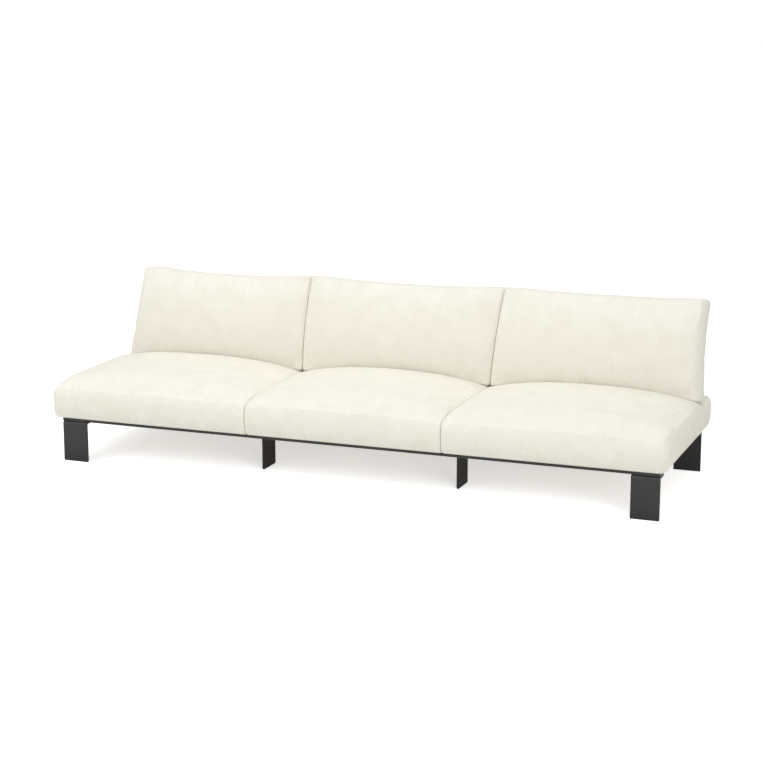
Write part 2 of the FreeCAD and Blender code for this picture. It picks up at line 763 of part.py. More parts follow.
def back_form(ends, inset):
    """A back cushion's solid between two ends, each its foot's X and its head's shift."""
    (left, left_shift), (right, right_shift) = ends
    foot = SEAT_BASE + size.back_foot_rise
    wires = []
    for across, pull, share in stations(left, right, size.back_corner_radius, inset):
        place = (across - left) / (right - left)
        shift = left_shift + (right_shift - left_shift) * place
        slant = shift / size.back_height

        def plane(point, across=across, slant=slant):
            return Vector(across + slant * (point[1] - foot), *point)

        wires.append(back_outline(plane, pull, share))
    return Part.makeLoft(wires, True, True)


# Zips


def make_zip(length):
    """A closed zip along +X, lying on a panel at Z 0: two tapes and their teeth."""
    tape = Part.makeBox(length, size.tape_width, size.tape_thickness)
    tape.translate(Vector(-length / 2, -size.tape_width / 2, 0))
    coil = Part.makeBox(length, size.coil_width, size.coil_height)
    coil.translate(Vector(-length / 2, -size.coil_width / 2, size.tape_thickness))
    return tape.fuse(coil).removeSplitter()


def make_slider():
    """A zip slider over the teeth, its trailing end at X 0, with its tab lying flat."""
    width = size.coil_width + 2 * (size.slider_gap + size.slider_wall)
    floor = size.tape_thickness + size.slider_gap
    roof = size.tape_thickness + size.coil_height + size.slider_gap
    shell = Part.makeBox(size.slider_length, width, roof + size.slider_wall - floor)
    shell.translate(Vector(0, -width / 2, floor))
    slot = Part.makeBox(size.slider_length, width - 2 * size.slider_wall, roof - floor)
    slot.translate(Vector(0, -width / 2 + size.slider_wall, floor))
    tab = Part.makeBox(size.tab_length, size.tab_width, size.tab_thickness)
    tab.translate(Vector(size.slider_wall, -size.tab_width / 2, roof + size.slider_wall))
    return shell.cut(slot).fuse(tab).removeSplitter()


def add_zip(label, ends, spot, turn):
    """A zip on one panel of a cover, and its slider at the zip's left end."""
    start = ends[0][0] + size.zip_inset
    end = ends[1][0] - size.zip_inset
    tape = add_shape(f"{label}_zip", make_zip(end - start))
    tape.Placement = Placement(Vector((start + end) / 2, *spot), turn)
    slider = add_shape(f"{label}_zip_slider", make_slider())
    slider.Placement = Placement(Vector(start, *spot), turn)


def parted(ends, place):
    """The two ends of one place in a row, each half a gap inside its line."""
    (left, left_shift), (right, right_shift) = ends[place : place + 2]
    half_gap = size.cushion_gap / 2
    left += half_gap if place > 0 else 0
    right -= half_gap if place < len(ends) - 2 else 0
    return (left, left_shift), (right, right_shift)


def add_cushions():
    """Three seat and three back cushions, each a cover round a filling, with its zip."""
    left_line = -size.frame_length / 6 - size.left_line_shift
    right_line = size.frame_length / 6 - size.right_line_inset
    seat_ends = (
        (-size.frame_length / 2 - size.seat_end_overhang, 0),
        (left_line, size.left_line_slant),
        (right_line, -size.right_line_slant),
        (size.frame_length / 2 + size.seat_end_overhang, 0),
    )
    back_ends = (
        (-size.frame_length / 2 + size.back_left_inset, size.back_left_slump),
        (left_line, size.back_left_line_slump),
        (right_line, size.back_right_line_slump),
        (size.frame_length / 2 + size.back_right_overhang, 0),
    )
    seat_zip = (SEAT_REAR, SEAT_BASE + size.seat_boxing / 2)
    spot = back_corners(0.0)
    back_zip = ((spot.foot[0] + spot.heel[0]) / 2, (spot.foot[1] + spot.heel[1]) / 2)
    facing_back = Rotation(Vector(1, 0, 0), -90)
    facing_down = Rotation(Vector(1, 0, 0), 180 - size.back_foot_tilt)
    filling = size.cover_wall + size.core_gap
    for place, name in enumerate(("left", "middle", "right")):
        seat = parted(seat_ends, place)
        back = parted(back_ends, place)
        hollow = seat_form(seat, back, size.cover_wall)
        add_shape(f"{name}_seat_cover", seat_form(seat, back, 0.0).cut(hollow))
        add_shape(f"{name}_seat_core", seat_form(seat, back, filling))
        add_zip(f"{name}_seat", seat, seat_zip, facing_back)
        hollow = back_form(back, size.cover_wall)
        add_shape(f"{name}_back_cover", back_form(back, 0.0).cut(hollow))
        add_shape(f"{name}_back_core", back_form(back, filling))
        add_zip(f"{name}_back", back, back_zip, facing_down)


# Build, check and write


def write_parts():
    """Check every object and write each sub-part to its own file."""
    document.recompute()
    for item in document.Objects:
        if "Invalid" in item.State or "Error" in item.State:
            raise RuntimeError(f"{item.Label}: {item.State}")
    os.makedirs("parts", exist_ok=True)
    for item in subparts:
        if item.Shape.isNull() or not item.Shape.isValid():
            raise RuntimeError(f"{item.Label}: no valid shape")
        item.Shape.exportStep(f"parts/{item.Label}.step")
    print(len(subparts), "sub-parts")


frame_holes = add_frame_bars()
add_legs()
add_glides()
add_decks()
rail_holes = add_back_support()
add_fasteners(frame_holes, rail_holes)
add_cushions()
write_parts()
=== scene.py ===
"""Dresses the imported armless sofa: boxed linen cushions, coated steel, plywood, zips and studio light."""

import json
import logging
import math
from collections.abc import Iterable
from dataclasses import dataclass
from enum import Enum

import bmesh
import bpy
import numpy as np
from bmesh.types import BMesh
from bpy.types import Material, Node, NodeSocket, NodeTree, Object
from mathutils import Euler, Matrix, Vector, noise
from mathutils.kdtree import KDTree

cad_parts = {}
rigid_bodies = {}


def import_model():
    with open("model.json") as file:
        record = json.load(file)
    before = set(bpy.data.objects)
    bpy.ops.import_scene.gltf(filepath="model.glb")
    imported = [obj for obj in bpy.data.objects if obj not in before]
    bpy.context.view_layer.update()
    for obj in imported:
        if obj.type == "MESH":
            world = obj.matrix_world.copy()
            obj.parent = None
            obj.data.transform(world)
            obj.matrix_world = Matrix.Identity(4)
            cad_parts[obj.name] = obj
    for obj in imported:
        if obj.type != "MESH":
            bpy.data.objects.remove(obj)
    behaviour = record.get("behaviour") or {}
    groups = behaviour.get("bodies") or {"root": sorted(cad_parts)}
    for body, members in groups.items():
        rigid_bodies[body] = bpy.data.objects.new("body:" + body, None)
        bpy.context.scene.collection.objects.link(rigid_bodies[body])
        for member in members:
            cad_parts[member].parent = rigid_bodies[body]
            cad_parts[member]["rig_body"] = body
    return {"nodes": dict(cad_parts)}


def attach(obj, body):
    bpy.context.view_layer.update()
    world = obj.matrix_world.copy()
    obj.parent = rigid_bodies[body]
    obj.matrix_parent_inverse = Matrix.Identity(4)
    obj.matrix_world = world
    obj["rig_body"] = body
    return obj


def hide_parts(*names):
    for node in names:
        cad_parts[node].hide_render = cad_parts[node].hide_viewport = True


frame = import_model()

LOG = logging.getLogger("sofa")
MM = 0.001
WEAVE_UV = "weave"
NAMES = ("left", "middle", "right")


# Small helpers


def srgb(code: str) -> tuple[float, float, float, float]:
    """Turns an sRGB hex colour to a linear one.

    Args:
        code: the colour as #RRGGBB.

    Returns:
        Red, green, blue and alpha.
    """
    parts = [int(code[place : place + 2], 16) / 255 for place in (1, 3, 5)]
    linear = [part / 12.92 if part <= 0.04045 else ((part + 0.055) / 1.055) ** 2.4 for part in parts]
    return (linear[0], linear[1], linear[2], 1.0)


def add_node(
    tree: NodeTree, kind: str, inputs: dict | None = None, **settings: object
) -> Node:
    """Adds one node with its settings and its links.

    Args:
        tree: the material's or world's nodes.
        kind: the node's type, without the prefix that all shader nodes have.
        inputs: for each socket, a value or the output that feeds it.
        settings: the node's own properties.

    Returns:
        The new node.
    """
    node = tree.nodes.new(f"ShaderNode{kind}")
    for name, value in settings.items():
        setattr(node, name, value)
    for socket, value in (inputs or {}).items():
        if isinstance(value, NodeSocket):
            tree.links.new(value, node.inputs[socket])
        else:
            node.inputs[socket].default_value = value
    return node


def new_material(name: str) -> tuple[Material, NodeTree]:
    """Starts an empty node material.

    Args:
        name: the real material's name.

    Returns:
        The material and its node tree.
    """
    material = bpy.data.materials.new(name)
    material.use_nodes = True
    material.node_tree.nodes.clear()
    return material, material.node_tree


def close_material(tree: NodeTree, shader: Node) -> None:
    """Feeds a shader to the material's output."""
    add_node(tree, "OutputMaterial", {"Surface": shader.outputs[0]})


def finish_mesh(
    name: str, bm: BMesh, material: Material, smooth: bool = True
) -> Object:
    """Turns a bmesh into an object at the origin.

    Args:
        name: the piece's name.
        bm: the finished geometry, in metres in the part's frame.
        material: the piece's finish.
        smooth: whether its faces are shaded smooth.

    Returns:
        The linked object.
    """
    mesh = bpy.data.meshes.new(name)
    bm.to_mesh(mesh)
    bm.free()
    mesh.materials.append(material)
    mesh.shade_smooth() if smooth else mesh.shade_flat()
    piece = bpy.data.objects.new(name, mesh)
    bpy.context.scene.collection.objects.link(piece)
    return piece


# Finishes


@dataclass(frozen=True)
class LinenWeave:
    """Plain-woven linen blend, piece-dyed cream: matte, with slubs along both threads and a faint melange."""

    light: str = "#F4F1E7"
    body: str = "#EEEBE0"
    shade: str = "#E6E2D5"
    thread_pitch: float = 1.5
    slub_width: float = 1.8
    slub_length: float = 90.0
    cloud_size: float = 70.0
    thread_relief: float = 0.28

    def material(self) -> Material:
        """Builds the woven cover's material, which reads the piece's own weave map."""
        material, tree = new_material("linen_weave")
        weave = add_node(tree, "UVMap", uv_map=WEAVE_UV)
        place = add_node(tree, "TexCoord")
        # Threads wander a little, as hand-loomed ones do
        wander = add_node(
            tree, "TexNoise", {"Vector": place.outputs["Object"], "Scale": 1 / (9 * MM), "Detail": 2.0}
        )
        drift = add_node(
            tree, "VectorMath", {0: wander.outputs["Color"], 1: (0.9 * MM,) * 3}, operation="MULTIPLY"
        )
        threads = add_node(
            tree, "VectorMath", {0: weave.outputs["UV"], 1: drift.outputs[0]}, operation="ADD"
        )
        turns = add_node(
            tree,
            "VectorMath",
            {0: threads.outputs[0], 1: (math.pi / (self.thread_pitch * MM),) * 3},
            operation="MULTIPLY",
        )
        axes = add_node(tree, "SeparateXYZ", {0: turns.outputs[0]})
        warp = add_node(tree, "Math", {0: axes.outputs["X"]}, operation="SINE")
        weft = add_node(tree, "Math", {0: axes.outputs["Y"]}, operation="SINE")
        cell = add_node(
            tree, "Math", {0: warp.outputs[0], 1: weft.outputs[0]}, operation="MULTIPLY"
        )
        # Slubs: long thick places in the yarn, one set along each thread direction
        streaks = []
        for along, across in ((self.slub_length, self.slub_width), (self.slub_width, self.slub_length)):
            stretch = add_node(
                tree,
                "Mapping",
                {"Vector": weave.outputs["UV"], "Scale": (1 / (along * MM), 1 / (across * MM), 1.0)},
            )
            streaks.append(
                add_node(
                    tree,
                    "TexNoise",
                    {"Vector": stretch.outputs[0], "Scale": 1.0, "Detail": 3.0, "Roughness": 0.6},
                )
            )
        slubs = add_node(
            tree, "Math", {0: streaks[0].outputs[0], 1: streaks[1].outputs[0]}, operation="ADD"
        )
        clouds = add_node(
            tree,
            "TexNoise",
            {"Vector": place.outputs["Object"], "Scale": 1 / (self.cloud_size * MM), "Detail": 4.0},
        )
        sum_of_all = add_node(
            tree, "Math", {0: slubs.outputs[0], 1: clouds.outputs[0]}, operation="ADD"
        )
        depth = add_node(
            tree, "MapRange", {"Value": sum_of_all.outputs[0], "From Min": 0.9, "From Max": 2.1}
        )
        colours = add_node(tree, "ValToRGB", {"Fac": depth.outputs[0]})
        ramp = colours.color_ramp
        ramp.elements[0].color = srgb(self.shade)
        ramp.elements[1].color = srgb(self.light)
        middle = ramp.elements.new(0.5)
        middle.color = srgb(self.body)
        height = add_node(
            tree, "Math", {0: slubs.outputs[0], 1: 0.8, 2: cell.outputs[0]}, operation="MULTIPLY_ADD"
        )
        relief = add_node(
            tree,
            "Bump",
            {"Height": height.outputs[0], "Strength": 0.6, "Distance": self.thread_relief * MM},
        )
        shader = add_node(
            tree,
            "BsdfPrincipled",
            {
                "Base Color": colours.outputs[0],
                "Roughness": 0.92,
                "Specular IOR Level": 0.25,
                "Sheen Weight": 0.12,
                "Sheen Roughness": 0.5,
                "Normal": relief.outputs[0],
            },
        )
        close_material(tree, shader)
        return material


@dataclass(frozen=True)
class PlainFinish:
    """A moulded, coated or plated surface: one body colour, mottled a little, with a fine grain."""

    name: str
    body: str
    shade: str
    roughness: float
    rough_spread: float
    grain: float
    relief: float
    metallic: float = 0.0

    def material(self) -> Material:
        """Builds the material from noise at the grain's real size."""
        material, tree = new_material(self.name)
        place = add_node(tree, "TexCoord")
        fine = add_node(
            tree,
            "TexNoise",
            {"Vector": place.outputs["Object"], "Scale": 1 / (self.grain * MM), "Detail": 3.0},
        )
        broad = add_node(
            tree,
            "TexNoise",
            {"Vector": place.outputs["Object"], "Scale": 1 / (60 * self.grain * MM), "Detail": 4.0},
        )
        colour = add_node(
            tree,
            "Mix",
            {"Factor": broad.outputs[0], 6: srgb(self.shade), 7: srgb(self.body)},
            data_type="RGBA",
        )
        gloss = add_node(
            tree,
            "MapRange",
            {
                "Value": broad.outputs[0],
                "To Min": self.roughness - self.rough_spread,
                "To Max": self.roughness + self.rough_spread,
            },
        )
        bump = add_node(
            tree, "Bump", {"Height": fine.outputs[0], "Strength": 0.5, "Distance": self.relief * MM}
        )
        shader = add_node(
            tree,
            "BsdfPrincipled",
            {
                "Base Color": colour.outputs[2],
                "Roughness": gloss.outputs[0],
                "Metallic": self.metallic,
                "Normal": bump.outputs[0],
            },
        )
        close_material(tree, shader)
        return material


@dataclass(frozen=True)
class BirchPlywood:
    """Sanded birch plywood: pale rotary-cut faces, and edges striped by the crossed plies."""

    light: str = "#DCC59C"
    dark: str = "#BF9E6E"
    ply: str = "#8E6A42"
    ply_thickness: float = 1.33
    grain_width: float = 7.0

    def material(self) -> Material:
        """Builds the panel's face grain and its ply lines."""
        material, tree = new_material("birch_plywood")
        place = add_node(tree, "TexCoord")
        along = add_node(
            tree,
            "Mapping",
            {
                "Vector": place.outputs["Object"],
                "Scale": (1 / (25 * self.grain_width * MM), 1 / (self.grain_width * MM), 1 / MM / 100),
            },
        )
        figure = add_node(
            tree, "TexNoise", {"Vector": along.outputs[0], "Scale": 1.0, "Detail": 6.0, "Distortion": 0.6}
        )
        face = add_node(
            tree,
            "Mix",
            {"Factor": figure.outputs[0], 6: srgb(self.light), 7: srgb(self.dark)},
            data_type="RGBA",
        )
        axes = add_node(tree, "SeparateXYZ", {0: place.outputs["Object"]})
        count = add_node(
            tree,
            "Math",
            {0: axes.outputs["Z"], 1: math.pi / (self.ply_thickness * MM)},
            operation="MULTIPLY",
        )
        stripe = add_node(tree, "Math", {0: count.outputs[0]}, operation="SINE")
        normal = add_node(tree, "NewGeometry")
        facing = add_node(tree, "SeparateXYZ", {0: normal.outputs["Normal"]})
        up = add_node(tree, "Math", {0: facing.outputs["Z"]}, operation="ABSOLUTE")
        edge = add_node(tree, "Math", {0: up.outputs[0], 1: 0.5}, operation="LESS_THAN")
        shown = add_node(
            tree, "Math", {0: stripe.outputs[0], 1: edge.outputs[0]}, operation="MULTIPLY"
        )
        colour = add_node(
            tree,
            "Mix",
            {"Factor": shown.outputs[0], 6: face.outputs[2], 7: srgb(self.ply)},
            data_type="RGBA",
        )
        bump = add_node(
            tree, "Bump", {"Height": figure.outputs[0], "Strength": 0.4, "Distance": 0.15 * MM}
        )
        shader = add_node(
            tree,
            "BsdfPrincipled",
            {"Base Color": colour.outputs[2], "Roughness": 0.6, "Normal": bump.outputs[0]},
        )
        close_material(tree, shader)
        return material


# Polyester powder coat on steel: baked on, so it is satin and has a faint orange peel
POWDER_COAT = PlainFinish("powder_coated_steel", "#323131", "#2C2B2B", 0.40, 0.05, 1.1, 0.03)
# Zinc-plated bolts, blackened: darker and glossier than the coat
BLACK_ZINC = PlainFinish("black_zinc_plate", "#3A3A3C", "#2C2C2E", 0.35, 0.08, 0.6, 0.02, 1.0)
# Injection-moulded nylon with a fine spark-eroded texture
MOULDED_NYLON = PlainFinish("moulded_nylon", "#242425", "#1C1C1D", 0.55, 0.05, 0.5, 0.03)
# Woven polyester zip tape: flat and matt, dyed to the linen
TWILL_TAPE = PlainFinish("twill_zip_tape", "#E4DFCC", "#D8D2BC", 0.85, 0.05, 0.8, 0.08)
# Drawn polyester monofilament of the zip's teeth: harder and glossier than its tape
ZIP_COIL = PlainFinish("polyester_coil", "#D9D4BF", "#CDC7AF", 0.35, 0.05, 0.4, 0.02)
# Die-cast zinc of the sliders, tumbled to a dull shine
CAST_ZINC = PlainFinish("tumbled_zinc", "#B9B6B0", "#A19E98", 0.34, 0.08, 0.5, 0.03, 1.0)


# Cushions


def arc(start: tuple, via: tuple, end: tuple, count: int = 40) -> list[tuple[float, float]]:
    """Gives points along the circle through three points.

    Args:
        start: the first point.
        via: a point on the way.
        end: the last point.
        count: how many steps.

    Returns:
        The points, both ends with them.
    """
    (ax, ay), (bx, by), (cx, cy) = start, via, end
    det = 2 * (ax * (by - cy) + bx * (cy - ay) + cx * (ay - by))
    if abs(det) < 1e-9:
        return [(ax + (cx - ax) * t / count, ay + (cy - ay) * t / count) for t in range(count + 1)]
    a2, b2, c2 = ax * ax + ay * ay, bx * bx + by * by, cx * cx + cy * cy
    ox = (a2 * (by - cy) + b2 * (cy - ay) + c2 * (ay - by)) / det
    oy = (a2 * (cx - bx) + b2 * (ax - cx) + c2 * (bx - ax)) / det
    first, mid, last = (math.atan2(y - oy, x - ox) for x, y in (start, via, end))
    whole = 2 * math.pi
    sweep = (last - first) % whole
    if (mid - first) % whole > sweep:
        sweep -= whole
    radius = math.hypot(ax - ox, ay - oy)
    angles = [first + sweep * t / count for t in range(count + 1)]
    return [(ox + radius * math.cos(a), oy + radius * math.sin(a)) for a in angles]


def resample(points: Iterable, fractions: np.ndarray) -> np.ndarray:
    """Puts new points at shares of a line's length.

    Args:
        points: the line.
        fractions: shares from 0 to 1.

    Returns:
        One point for each share.
    """
    line = np.array(points, float)
    reach = np.concatenate([[0.0], np.cumsum(np.linalg.norm(np.diff(line, axis=0), axis=1))])
    marks = fractions * reach[-1]
    return np.stack([np.interp(marks, reach, line[:, axis]) for axis in range(line.shape[1])], 1)


def soften(points: Iterable, radius: float, step: float = 1.5) -> np.ndarray:
    """Rounds the corners of a line and keeps its ends.

    Args:
        points: the line, in millimetres.
        radius: how far the rounding reaches.
        step: the spacing of the points.

    Returns:
        The rounded line.
    """
    length = np.linalg.norm(np.diff(np.array(points, float), axis=0), axis=1).sum()
    line = resample(points, np.linspace(0, 1, max(8, round(length / step))))
    passes = round((radius / step) ** 2 / 2)
    for _ in range(passes):
        line[1:-1] = (line[:-2] + 2 * line[1:-1] + line[2:]) / 4
    return line


def graded(length: float, fine: float, coarse: float, growth: float = 1.4) -> np.ndarray:
    """Divides a length so that the cells are small at both ends.

    Args:
        length: the whole length.
        fine: the first cell.
        coarse: the cells in the middle.
        growth: how fast the cells grow.

    Returns:
        The divisions as shares from 0 to 1.
    """
    steps = []
    step = fine
    while step < coarse:
        steps.append(step)
        step *= growth
    middle = length - 2 * sum(steps)
    count = max(2, round(middle / coarse))
    cells = steps + [middle / count] * count + steps[::-1]
    marks = np.concatenate([[0.0], np.cumsum(cells)])
    return marks / marks[-1]


@dataclass(frozen=True)
class SofaSizes:
    """The sizes that the cushions share with the frame, in millimetres."""

    frame_length: float = 2500
    frame_depth: float = 766
    seat_base: float = 180.5
    gap: float = 1
    # The lines between the cushions: from the cross bars, and how far each slants and slumps
    left_line_shift: float = 1
    right_line_inset: float = 3
    left_line_slant: float = 4
    right_line_slant: float = 7
    left_slump: float = 52
    left_line_slump: float = 21
    right_line_slump: float = 40
    # Seat
    front_overhang: float = 22
    rear_overhang: float = 9
    end_overhang: float = 35
    boxing: float = 124
    side_rise: float = 26
    front_rise: float = 9
    crown: float = 71
    front_bulge: float = 6
    edge_radius: float = 22
    front_softness: float = 26
    roll: float = 160
    # Back
    foot_setting: float = 213
    foot_rise: float = 158
    back_height: float = 391
    lean: float = 8.5
    thickness: float = 122
    top_thickness: float = 132
    foot_tilt: float = 15
    top_tilt: float = 6
    bow: float = 22
    back_crown: float = 30
    rear_crown: float = 38
    top_dips: tuple[float, float, float] = (21, 16, 11)
    left_inset: float = 7
    right_overhang: float = 23
    foot_ear: float = 9
    foot_gap: float = 2.5
    heel_gap: float = 22
    hollow_room: float = 9.5
    zip_inset: float = 90

    @property
    def front(self) -> float:
        """Y of the seats' front."""
        return -self.frame_depth / 2 - self.front_overhang

    @property
    def rear(self) -> float:
        """Y of the seats' rear."""
        return self.frame_depth / 2 + self.rear_overhang

    @property
    def lines(self) -> tuple[float, float]:
        """X of the two lines between the cushions, at their rear and foot."""
        sixth = self.frame_length / 6
        return -sixth - self.left_line_shift, sixth - self.right_line_inset

    def seat_ends(self, name: str) -> list[tuple[float, float]]:
        """Left and right end of a seat cushion: X at its rear, and its front's shift to the right."""
        end = self.frame_length / 2 + self.end_overhang
        left, right = self.lines
        marks = [(-end, 0), (left, self.left_line_slant), (right, -self.right_line_slant), (end, 0)]
        return self._between(name, marks)

    def back_ends(self, name: str) -> list[tuple[float, float]]:
        """Left and right end of a back cushion: X at its foot, and its head's shift to the right."""
        half = self.frame_length / 2
        left, right = self.lines
        marks = [
            (-half + self.left_inset, self.left_slump),
            (left, self.left_line_slump),
            (right, self.right_line_slump),
            (half + self.right_overhang, 0),
        ]
        return self._between(name, marks)

    def _between(self, name: str, marks: list[tuple[float, float]]) -> list[tuple[float, float]]:
        """Left and right end of the named place, half a gap inside its lines."""
        place = NAMES.index(name)
        (left, left_shift), (right, right_shift) = marks[place : place + 2]
        left += self.gap / 2 if place > 0 else 0
        right -= self.gap / 2 if place < 2 else 0
        return [(left, left_shift), (right, right_shift)]


SIZES = SofaSizes()
CROWN_POWER = 2.5


def crown_share(reach: float, half: float) -> float:
    """How much of its crown a cushion has at a distance from its end."""
    return 1 - (1 - min(max(reach, 0), half) / half) ** CROWN_POWER


def step_from(start: tuple[float, float], angle: float, length: float) -> tuple[float, float]:
    """A point at an angle in degrees and a length from another."""
    turn = math.radians(angle)
    return (start[0] + length * math.cos(turn), start[1] + length * math.sin(turn))


@dataclass(frozen=True)
class BackCorners:
    """The four seam corners of a back cushion's section, and the middles of its front and rear."""

    foot: tuple[float, float]
    heel: tuple[float, float]
    crest: tuple[float, float]
    head: tuple[float, float]
    front: tuple[float, float]
    rear: tuple[float, float]

    @classmethod
    def at(cls, share: float, inset: float = 0.0, sag: float = 18.0) -> "BackCorners":
        """Works out the corners.

        Args:
            share: the section's share of the crown.
            inset: how far the section is drawn in.
            sag: how far the middle of the top edge is below its ends.

        Returns:
            The section's corners.
        """
        s = SIZES
        foot = (s.rear - s.foot_setting, s.seat_base + s.foot_rise)
        dip = sag * share
        heel = step_from(foot, -s.foot_tilt, s.thickness)
        head = step_from(foot, 90 - s.lean, s.back_height - dip)
        crest = step_from(head, -s.top_tilt, s.top_thickness)
        front_y = (foot[0] + head[0]) / 2 - s.bow - s.back_crown * share
        rear_y = (heel[0] + crest[0]) / 2 - s.bow + s.rear_crown * share
        return cls(
            (foot[0] + inset, foot[1] + inset),
            (heel[0] - inset, heel[1] + inset),
            (crest[0] - inset, crest[1] - inset),
            (head[0] + inset, head[1] - inset),
            (front_y + inset, (foot[1] + head[1]) / 2),
            (rear_y - inset, (heel[1] + crest[1]) / 2),
        )


class Side(Enum):
    """The six panels of a boxed cushion, as the axis and end of the block that it starts from."""

    LEFT = (0, 0)
    RIGHT = (0, 1)
    FRONT = (1, 0)
    REAR = (1, 1)
    UNDER = (2, 0)
    TOP = (2, 1)


@dataclass
class BoxedCushion:
    """A cushion of two panels and a boxing strip round them, joined by plain seams.

    It starts as a block divided into small cells, whose points are then moved to the panels.
    """

    name: str
    ends: list[tuple[float, float]]
    radii: tuple[float, float]
    depth_hint: float
    height_hint: float
    seam_sides: tuple[Side, Side]
    fill: float = 0.9
    fine: float = 2.2
    coarse: float = 8.0
    seam_depth: float = 1.1
    seam_width: float = 2.4
    seam_roll: float = 0.6
    roll_place: float = 9.0
    roll_width: float = 6.0
    pucker: float = 1.5
    pucker_reach: float = 20.0
    pucker_spans: tuple[float, float] = (24.0, 11.0)
    sway: float = 2.2
    sway_spans: tuple[float, float] = (190.0, 85.0)
    calm_reach: float = 45.0
    tuck_reach: float = 55.0
    pressure: float = 3.0
    spare_cloth: float = 0.02
    settle_frames: int = 14
    swell_cap: float = 6.0
    crease: float = 0.45
    tucks: tuple[float, float] = (0.0, 0.0)

    @property
    def left(self) -> float:
        """X of the left end, before it shifts."""
        return self.ends[0][0]

    @property
    def right(self) -> float:
        """X of the right end, before it shifts."""
        return self.ends[1][0]

    def section(self, across: float, pull: float, share: float) -> dict[Side, np.ndarray]:
        """The front, rear, under and top lines of the section at one X, in Y and Z."""
        raise NotImplementedError

    def travel(self, point: np.ndarray) -> float:
        """How far a point is along the cushion's slumping direction, as a share of the whole."""
        raise NotImplementedError

    def pinch(self, point: np.ndarray) -> float:
        """How much of an end's tuck a point at that end takes, from 0 to 1."""
        raise NotImplementedError

    def slumped(self, point: np.ndarray) -> Vector:
        """Shifts a point of the upright cushion to where the slumped one has it."""
        place = (point[0] - self.left) / (self.right - self.left)
        shift = self.ends[0][1] * (1 - place) + self.ends[1][1] * place
        pinch = self.pinch(point)
        inward = self.tucks[0] * math.exp(-(((point[0] - self.left) / self.tuck_reach) ** 2))
        inward -= self.tucks[1] * math.exp(-(((self.right - point[0]) / self.tuck_reach) ** 2))
        across = point[0] + shift * self.travel(point) + inward * pinch
        return Vector((across, point[1], point[2]))

    def stillness(self, point: Vector, side: Side) -> float:
        """How free the cloth is at a point: 0 where it lies on something, 1 where it is free."""
        raise NotImplementedError

    def block(self) -> tuple[BMesh, list[np.ndarray]]:
        """Makes the divided block.

        Returns:
            The block, whose points lie on whole numbers, and the shares that divide each axis.
        """
        marks = [
            graded(length, self.fine, self.coarse)
            for length in (self.right - self.left, self.depth_hint, self.height_hint)
        ]
        bm = bmesh.new()
        bmesh.ops.create_cube(bm, size=1.0)
        bmesh.ops.translate(bm, verts=bm.verts, vec=(0.5, 0.5, 0.5))
        for axis in range(3):
            edges = [e for e in bm.edges if abs((e.verts[0].co - e.verts[1].co)[axis]) > 0.5]
            bmesh.ops.subdivide_edges(bm, edges=edges, cuts=len(marks[axis]) - 2, use_grid_fill=True)
        counts = [len(mark) - 1 for mark in marks]
        bmesh.ops.scale(bm, verts=bm.verts, vec=counts)
        return bm, marks

    def rings(self, marks: list[np.ndarray]) -> dict[Side, np.ndarray]:
        """Gives the points of the four long panels at every division along X.

        Args:
            marks: the shares that divide each axis.

        Returns:
            For each panel, its points by place along X and place round the section.
        """
        first, last = (radius * (1 - math.sqrt(0.5)) for radius in self.radii)
        length = self.right - self.left
        half = length / 2
        lines: dict[Side, list] = {side: [] for side in (Side.FRONT, Side.REAR, Side.UNDER, Side.TOP)}
        for share in marks[0]:
            across = self.left + first + (length - first - last) * share
            reach = min(across - self.left, self.right - across)
            radius = self.radii[0] if share < 0.5 else self.radii[1]
            pull = radius - math.sqrt(radius**2 - max(radius - reach, 0) ** 2)
            section = self.section(across, pull, crown_share(reach, half))
            for side, line in section.items():
                spots = resample(line, marks[2 if side in (Side.FRONT, Side.REAR) else 1])
                lines[side].append([(across, y, z) for y, z in spots])
        return {side: np.array(points) for side, points in lines.items()}

    def end_panel(self, rings: dict[Side, np.ndarray], marks: list[np.ndarray], last: bool) -> np.ndarray:
        """Gives the points of an end panel, filled in between the four long ones.

        Args:
            rings: the points of the long panels.
            marks: the shares that divide each axis.
            last: whether it is the right end.

        Returns:
            Its points by place along Y and along Z.
        """
        row = -1 if last else 0
        front, rear = rings[Side.FRONT][row], rings[Side.REAR][row]
        under, top = rings[Side.UNDER][row], rings[Side.TOP][row]
        v, w = marks[1][:, None, None], marks[2][None, :, None]
        across = (1 - v) * front[None] + v * rear[None]
        upward = (1 - w) * under[:, None] + w * top[:, None]
        corners = (
            (1 - v) * (1 - w) * under[0] + v * (1 - w) * under[-1] + (1 - v) * w * top[0] + v * w * top[-1]
        )
        panel = across + upward - corners
        edge = np.concatenate([front, rear, under, top])[:, 1:]
        inset = np.sqrt(((panel[:, :, None, 1:] - edge) ** 2).sum(-1)).min(-1)
        radius = self.radii[1 if last else 0]
        pull = radius * (1 - math.sqrt(0.5)) + inset
        reach = radius - np.sqrt(np.maximum(radius**2 - np.maximum(radius - pull, 0) ** 2, 0))
        panel[:, :, 0] = self.right - reach if last else self.left + reach
        return panel

